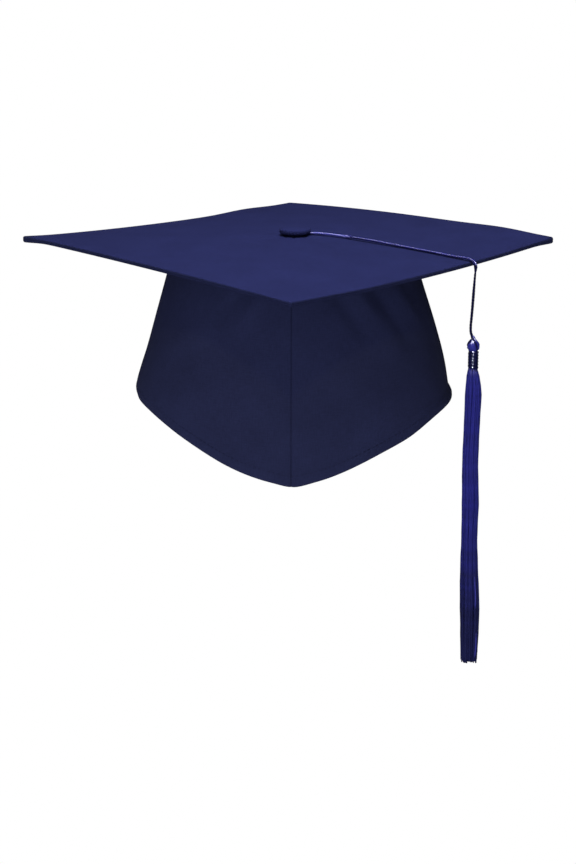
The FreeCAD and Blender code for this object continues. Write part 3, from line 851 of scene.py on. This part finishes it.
LINED = LINING, "lining_cloth"
front_sheet = dict(flat=(0.165, 0.140), held="stretched", rests_on=["crown_stiffener"])
for side, shares in (
    ("left", spaced_shares(-1, SEAM_SHARE, 90, (SEAM_SHARE, -1))),
    ("right", spaced_shares(SEAM_SHARE, 1, 90, (SEAM_SHARE, 1))),
):
    wall(
        f"front_{side}_cloth", f"front_{side}_panel", CAP_CLOTH, "cap_cloth", front_sheet,
        front_turns, shares, edge_height, top_height, 0.0, -CLOTH, front_relief, 64,
    )
wall(
    "back_cloth", "back_panel", CAP_CLOTH, "cap_cloth",
    dict(flat=(0.300, 0.105), held="gathered", rests_on=["crown_stiffener"]),
    back_turns, spaced_shares(0, 1, 260, (0, 1)), edge_height, top_height, 0.0, -CLOTH, back_relief, 50,
)

# inside: interlinings, headband, seam tapes, the casing and its elastic, and the crown
FELT_OUT, FELT_IN = -CLOTH - 0.05, -CLOTH - FELT_THICK
BAND_OUT, BAND_IN = FELT_IN - 0.05, FELT_IN - 0.75
BAND_TOP = 25.0
CASING_TOP = 20.5
STRIP = 6.0  # half a seam tape's width
FELTS = ["front_left_felt", "front_right_felt"]

for side, shares in (("left", (-1.0, 0.0)), ("right", (0.0, 1.0))):
    wall(
        f"front_{side}_felt", f"front_{side}_interlining", FELT, "interlining",
        dict(flat=(0.160, 0.135), held="stretched", rests_on=[f"front_{side}_cloth"]),
        front_turns, np.linspace(*shares, 70), over_edge(2.0), under_top(0.3), FELT_OUT, FELT_IN,
        inside(front_relief), 30,
    )


def band_relief(turn, z, above):
    stitched = -0.25 * bump_at(above, BAND_TOP - 2.5, 0.7)
    slack = 0.12 * np.sin(arc_of(turn) / 3.1) * smooth((above - 8) / 10)
    return inside(front_relief)(turn, z, above) + stitched + slack


def side_strip_turns(sign):
    return lambda share, z: sign * (seam_turn(z) + share * STRIP / 93.0)


def centre_turns(share, z):
    return share * STRIP / half_axes(z)[0]


def casing_relief(turn, z, above):
    hems = 1.55 * smooth((above - 15.5) / 4.5), 1.3 * smooth((3.5 - above) / 3.5)
    return back_relief(turn, z, above) + hems[0] + hems[1]


def elastic_relief(turn, z, above):
    return back_relief(turn, z, above * 0) * 0.9 + 0.04 * np.sin(above * 5)


def crown_tape_relief(turn, z, above):
    return 0.12 * np.sin(turn * 41 + np.sin(turn * 9)) - 0.3 * bump_at(above, 1.6, 0.6)


wall(
    "headband_cloth", "front_headband", *LINED,
    dict(flat=(0.330, 0.050), held="folded", rests_on=FELTS, area=0.0085),
    front_turns, np.linspace(-0.998, 0.998, 220), over_edge(0.6), over_edge(BAND_TOP), BAND_OUT, BAND_IN,
    band_relief, 20,
)
wall(
    "centre_front_seam_tape", "centre_front_seam_strip", *LINED,
    dict(flat=(0.0122, 0.096), held="stretched", rests_on=FELTS),
    centre_turns, np.linspace(-1, 1, 13), lambda turn: edge_height(0 * turn) + BAND_TOP - 1.0, under_top(9.0),
    BAND_OUT, BAND_IN, inside(front_relief, 0.5), 30,
)
for side, sign in (("left", -1), ("right", 1)):
    wall(
        f"{side}_side_seam_tape", f"{side}_side_seam_strip", *LINED,
        dict(flat=(0.0122, 0.062), held="stretched", rests_on=[f"front_{side}_felt", "back_cloth"]),
        side_strip_turns(sign), np.linspace(-1, 1, 13), lambda turn: 0 * turn + BAND_TOP - 3.0, under_top(9.0),
        BAND_OUT, BAND_IN, no_relief, 26,
    )
wall(
    "back_casing_cloth", "back_elastic_casing", *LINED,
    dict(flat=(0.300, 0.042), held="gathered", rests_on=["back_cloth"], area=0.0068),
    back_turns, np.linspace(0.012, 0.988, 240), over_edge(0.6), over_edge(CASING_TOP), -2.45, -3.05,
    casing_relief, 18,
)
wall(
    "back_elastic_band", "back_elastic", ELASTIC, "elastic",
    dict(flat=(0.230, 0.015), held="stretched", rests_on=["back_casing_cloth"]),
    back_turns, np.linspace(0.02, 0.98, 200), over_edge(3.0), over_edge(17.5), -1.15, -2.0, elastic_relief, 16,
)
wall(
    "crown_seam_tape_cloth", "crown_seam_tape", *LINED,
    dict(flat=(0.455, 0.016), held="folded", rests_on=["crown_cloth_lining"], area=0.0042),
    lambda share, z: share * math.pi, np.linspace(-0.999, 0.999, 200), under_top(9.0), under_top(0.6), -1.65, -2.3,
    crown_tape_relief, 12,
)


def crown_lining(around=180):
    """The oval cloth inside the crown, with slack ripples from its seam."""
    angle = circle(around)
    points, grain = [], []
    rings = [1.0, 0.992, 0.975, 0.95, 0.91] + list(np.linspace(0.86, 0.06, 26))
    a, b = half_axes(np.array(99.0))
    for share in rings:
        x, y = (a - 1.6) * share * np.cos(angle), (b - 1.6) * share * np.sin(angle)
        slack = 0.18 * np.sin(angle * 23 + np.sin(angle * 4)) * smooth((share - 0.6) / 0.35)
        slack += 0.15 * np.sin(x / 14) * np.sin(y / 12 + 1)
        loose = smooth((np.hypot(x - BUTTON_X, y) - 5.5) / 9)  # it is pinned at the button's post
        z = board_height(x, y) - 4.25 - 0.55 * loose * (share < 0.99) + slack * loose
        points.append(np.stack([x, y, z], 1))
        grain.append(np.stack([x, y], 1))
    return ringed(points, grain)


crown = piece("crown_cloth_lining", crown_lining(), LINING, ("crown_cloth",))


def stitch_row(turns, shares_range, height, outward, relief, pitch=3.0, long=2.3, radius=0.17):
    """A row of small stitches at a height over the lower edge, on the cloth's outer face."""
    shares = np.linspace(*shares_range, 3000)
    z = height(turns(shares, np.zeros(len(shares))))
    turn = turns(shares, z)
    a, b = half_axes(z)
    off = outward + relief(turn, z, z - edge_height(turn))
    line = np.stack([(a + off) * np.sin(turn), -(b + off) * np.cos(turn), z], 1)
    fine = run_along(line)
    parts = []
    for start in resampled(line, pitch)[1][:-1]:
        ends = placed(line, fine, [start, start + long])
        normal = np.array([ends[0][0], ends[0][1] * 1.2, 0.0])
        normal /= np.linalg.norm(normal)
        parts.append(capsule(ends[0], ends[1], radius, normal * (0.32 if outward > -1 else -0.32)))
    return joined(parts)


FRONT_SPAN, BACK_SPAN = (-0.985, 0.985), (0.02, 0.98)
for name, *row in (
    ("front_hem_stitches", front_turns, FRONT_SPAN, over_edge(HEM), 0.02, front_relief),
    ("back_casing_stitches", back_turns, BACK_SPAN, over_edge(CASING_TOP - 0.2), 0.02, back_relief),
    ("headband_stitches", front_turns, FRONT_SPAN, over_edge(BAND_TOP - 2.5), FELT_IN - 0.78, band_relief),
):
    piece(name, stitch_row(*row), THREAD, close=True)

# ---- the tassel
UPRIGHT = (0, 0, 1)


def tassel_loop():
    """The cord's two turns round the button's post."""
    turn = np.linspace(0, math.tau, 73)
    turns = ((TOP_Z + 0.6, 2.5), (TOP_Z + 0.6 + 0.75, 2.75))
    lines = [round_axis(BUTTON_X, 0.0, radius, turn, z) for z, radius in turns]
    return joined([tube(line, 0.5, lobes=3, twist=3.2, side=UPRIGHT) for line in lines])


loop = piece("tassel_loop_cord", tassel_loop(), CORD, ("tassel_loop",), body="tassel_lead", close=True)


def whipping_coil():
    """Thread wound round the doubled cord where its strands cross."""
    near = np.abs(cord_at - WHIP_AT) < 6
    line, at = cord_line[near], cord_at[near] - WHIP_AT
    s = np.linspace(-1.9, 1.9, 260)
    turn = math.tau * s / 0.36
    middle, side, up = (placed(values, at, s) for values in (line, *frames_along(line, ACROSS)[1:]))
    path = middle + side * (1.10 * np.cos(turn))[:, None] + up * (0.86 * np.sin(turn))[:, None]
    return tube(path, 0.17, around=6)


whipping = piece(
    "tassel_whipping_thread", whipping_coil(), CORD, ("tassel_whipping",), body="tassel_lead", close=True
)

HEAD_X = DROP_X + 1.1
HEAD_LOW = HEAD_TOP_Z - HEAD_HEIGHT
COLLAR_LOW = HEAD_LOW - COLLAR_HEIGHT
HEAD_PROFILE = [(28.0, 2.0), (31, 2.0), (36, 2.0), (41.0, 2.2), (42.2, 2.6), (43.6, 2.85), (45.2, 2.95), (46.4, 2.85)]
HEAD_PROFILE += [(47.6, 2.45), (48.8, 1.8), (49.7, 1.15), (50.2, 0.65), (50.4, 0.1)]  # height, radius


def head_bulb(around=120):
    """The tassel's strands folded over the cord: a lobed bulb that narrows into the collar."""
    heights, radii = np.array(HEAD_PROFILE).T
    z = np.linspace(heights[0], heights[-1], 74)
    rounded = np.convolve(np.pad(np.interp(z, heights, radii), 2, mode="edge"), np.ones(5) / 5, mode="valid")
    angle = circle(around)
    z = z[:, None]
    slant = angle + 0.05 * (z - 40)
    flute = 1 + 0.028 * np.sin(19 * slant) + 0.018 * np.sin(43 * slant + 1) + 0.02 * np.sin(7 * slant)
    lean = -0.95 * bump_at(z, 46.0, 3.4)
    points = round_axis(HEAD_X + lean, DROP_Y, rounded[:, None] * flute, angle, z)
    return ringed(points, np.stack(np.broadcast_arrays(3.2 * slant, z), 2))


piece("tassel_head", head_bulb(), HEAD, ("tassel_head_knot", "tassel_core"), body="tassel_drop")


def around_head(stops):
    """A cord laid round the head through stops of (angle in degrees, from +X towards -Y; height; radius)."""
    places = [(-math.radians(degrees), z, radius) for degrees, z, radius in stops]
    route = [tuple(round_axis(HEAD_X - 0.35, DROP_Y, radius, angle, z)) for angle, z, radius in places]
    return resampled(nurbs_line(route), 0.25)[0]


HEAD_LOOPS = (  # thickness, whether it gets the darker colour that paints shade, stops
    # down the left of the head and behind it, in the darker colour: painted shade
    (0.48, True, (
        (100, 51.0, 0.4), (118, 49.9, 1.9), (134, 48.7, 2.8), (152, 47.3, 3.3), (178, 45.7, 3.4), (210, 44.2, 3.2),
        (250, 43.4, 3.0),
    )),
    # across the front to the right, and down to the collar
    (0.66, False, (
        (85, 51.3, 0.3), (70, 50.2, 1.5), (54, 48.8, 2.7), (40, 47.2, 3.4), (28, 45.6, 3.6), (18, 44.2, 3.6),
        (4, 43.0, 3.3), (-25, 42.4, 3.0),
    )),
    # a thin strand beside it, in the darker colour: painted shade for the groove there
    (0.34, True, (
        (104, 50.6, 0.8), (88, 49.4, 2.0), (75, 48.0, 2.9), (64, 46.5, 3.4), (52, 45.0, 3.55), (46, 43.6, 3.3),
    )),
    # round the right side
    (0.52, False, ((40, 48.4, 2.8), (14, 46.7, 3.6), (-6, 45.0, 3.8), (-30, 43.8, 3.5), (-60, 42.8, 3.1))),
    # the turn that locks them, round the back
    (0.6, False, ((10, 44.0, 3.4), (-40, 45.2, 3.5), (-90, 45.7, 3.4), (-140, 45.0, 3.4), (-178, 43.6, 3.0))),
)
head_cords = [
    tube(around_head(stops), thick, around=12, lobes=3, twist=2.6, side=UPRIGHT) for thick, _, stops in HEAD_LOOPS
]
# loops marked True get the darker colour: painted shade
shades = np.repeat([int(dark) for _, dark, _ in HEAD_LOOPS], [len(part[1]) for part in head_cords])
loops = piece("tassel_head_loops", joined(head_cords), HEAD, body="tassel_drop", close=True)
loops.data.materials.append(HEAD_SHADE)
loops.data.polygons.foreach_set("material_index", shades.tolist())


def collar_coil():
    """The cord wound tight under the head."""
    turn = np.linspace(-0.3, COLLAR_TURNS + 0.3, 640)
    z = HEAD_LOW + 1.95 - np.clip(turn, 0, COLLAR_TURNS) * COLLAR_HEIGHT / COLLAR_TURNS
    tuck = 1 - 0.35 * (smooth(-turn / 0.3) + smooth((turn - COLLAR_TURNS) / 0.3))
    radius = 2.32 * tuck - 0.45 * (1 - smooth(turn))
    line = round_axis(HEAD_X + 0.1, DROP_Y, radius, math.tau * turn, z)
    return tube(line, 0.6 + 0.4 * tuck, around=24, side=UPRIGHT)


piece(
    "tassel_collar", collar_coil(), COLLAR, ("tassel_collar_wrap",), body="tassel_drop", close=True
)

# the skirt: its middle line and its radius down its length
SKIRT_TOP = COLLAR_LOW + 2.2
SKIRT_RADII = ((32, 2.2), (29.8, 3.0), (26, 3.8), (18, 4.6), (-3, 4.6), (-34, 4.75), (-56, 5.1), (-80, 4.8))
SKIRT_RADII += ((-104, 5.55), (-127, 6.1), (-137, 6.0), (-158, 5.4), (-170, 4.9))
SKIRT_LEAN = ((31, 1.0), (18, 1.7), (-3, 1.45), (-34, 1.15), (-56, 1.9), (-80, 1.9), (-104, 2.5), (-127, 3.3))
SKIRT_LEAN += ((-137, 3.5), (-170, 3.8))


def skirt_radius(z):
    return hermite(z, *zip(*SKIRT_RADII[::-1]))


def skirt_middle(z):
    return DROP_X + hermite(z, *zip(*SKIRT_LEAN[::-1]))


def strand(z, radius, angle, thick):
    line = round_axis(skirt_middle(z), DROP_Y, radius, angle, z)
    return tube(line, thick, around=6, lobes=2, twist=0.35, depth=0.15, side=(1, 0, 0))


def skirt_strands():
    """Long rayon strands in layers, each with its own waver, clump and end."""
    parts = []
    for share, count in ((0.93, 46), (0.80, 42), (0.62, 32), (0.42, 20)):
        for k in range(count):
            start = math.tau * (k + 0.35 * rng.uniform(-1, 1)) / count
            start += 0.10 * math.sin(5 * start + 1) + 0.05 * math.sin(11 * start)
            end = SKIRT_END_Z + 3.9 + 0.6 * rng.normal(0.0, 1.6)
            end += 0.8 * math.sin(2 * start) + 1.6 * math.cos(start - 0.4) ** 3
            z = np.linspace(SKIRT_TOP, end, 34)
            t = (SKIRT_TOP - z) / (SKIRT_TOP - SKIRT_END_Z)
            phase, speed, size = rng.uniform(0, 6.28), rng.uniform(4, 9), rng.uniform(0.02, 0.07)
            angle = start + t * rng.normal(0, 0.22) + size * 2.5 * np.sin(speed * t + phase) * t**0.5
            reach = share + 0.05 * rng.uniform(-1, 1)
            reach = reach + size * np.sin(speed * 0.7 * t + 2 * phase) * smooth(t / 0.1)
            reach = reach * (1 + 0.10 * t**3 * rng.normal(0, 1))
            thick = rng.uniform(0.36, 0.50) * (0.7 + 0.3 * smooth(t / 0.08))
            thick = thick * (1 - 0.45 * smooth((t - 0.985) / 0.03))
            parts.append(strand(z, skirt_radius(z) * reach, angle, thick))
    return joined(parts)


def lit_strand(high, low, angle):
    """A strand that comes up out of the skirt's right side and goes in again."""
    z = np.linspace(high, low, 30)
    rise = np.sin(math.pi * np.linspace(0, 1, 30)) ** 0.5
    return strand(z, skirt_radius(z) * (0.80 + 0.24 * rise), angle, 0.5)


def skirt_fill(rows=60, around=64):
    """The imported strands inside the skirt, so that it isn't hollow."""
    z = np.linspace(SKIRT_TOP, SKIRT_END_Z + 4, rows)[:, None]
    angle = circle(around)
    flute = 1 + 0.06 * np.sin(16 * angle + 0.02 * z) + 0.04 * np.sin(27 * angle - 0.03 * z)
    middle = skirt_middle(z)
    points = round_axis(middle, DROP_Y, skirt_radius(z) * 0.62 * flute, angle, z).reshape(-1, 3)
    count = len(points)
    ends = [[middle[0, 0], DROP_Y, z[0, 0]], [middle[-1, 0], DROP_Y, z[-1, 0] + 1]]
    faces = lattice(rows, around, wrap_columns=True)
    faces += [(count, (j + 1) % around, j) for j in range(around)]
    faces += [(count + 1, count - around + j, count - around + (j + 1) % around) for j in range(around)]
    grain = np.stack(np.broadcast_arrays(3.5 * angle, z), 2).reshape(-1, 2)
    return np.vstack([points, ends]), faces, np.vstack([grain, np.zeros((2, 2))])


def skirt(name, node_name, made):
    shown = piece(name, made, STRANDS, (node_name,), body=None, close=True)
    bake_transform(shown)
    return shown.data


plain = skirt_strands()
outer = joined([plain, lit_strand(-104, -129, -1.05), lit_strand(-142, -163, -0.88)])
outer_mesh = skirt("tassel_skirt_strands", "tassel_skirt_outer", outer)
outer_mesh.materials.append(CORD)
for face in outer_mesh.polygons[len(plain[1]) : len(outer[1])]:  # the two lit strands get the cord's brighter, glossier colour: painted highlight
    face.material_index = 1
skirt("tassel_skirt_fill", "tassel_skirt_inner", skirt_fill())
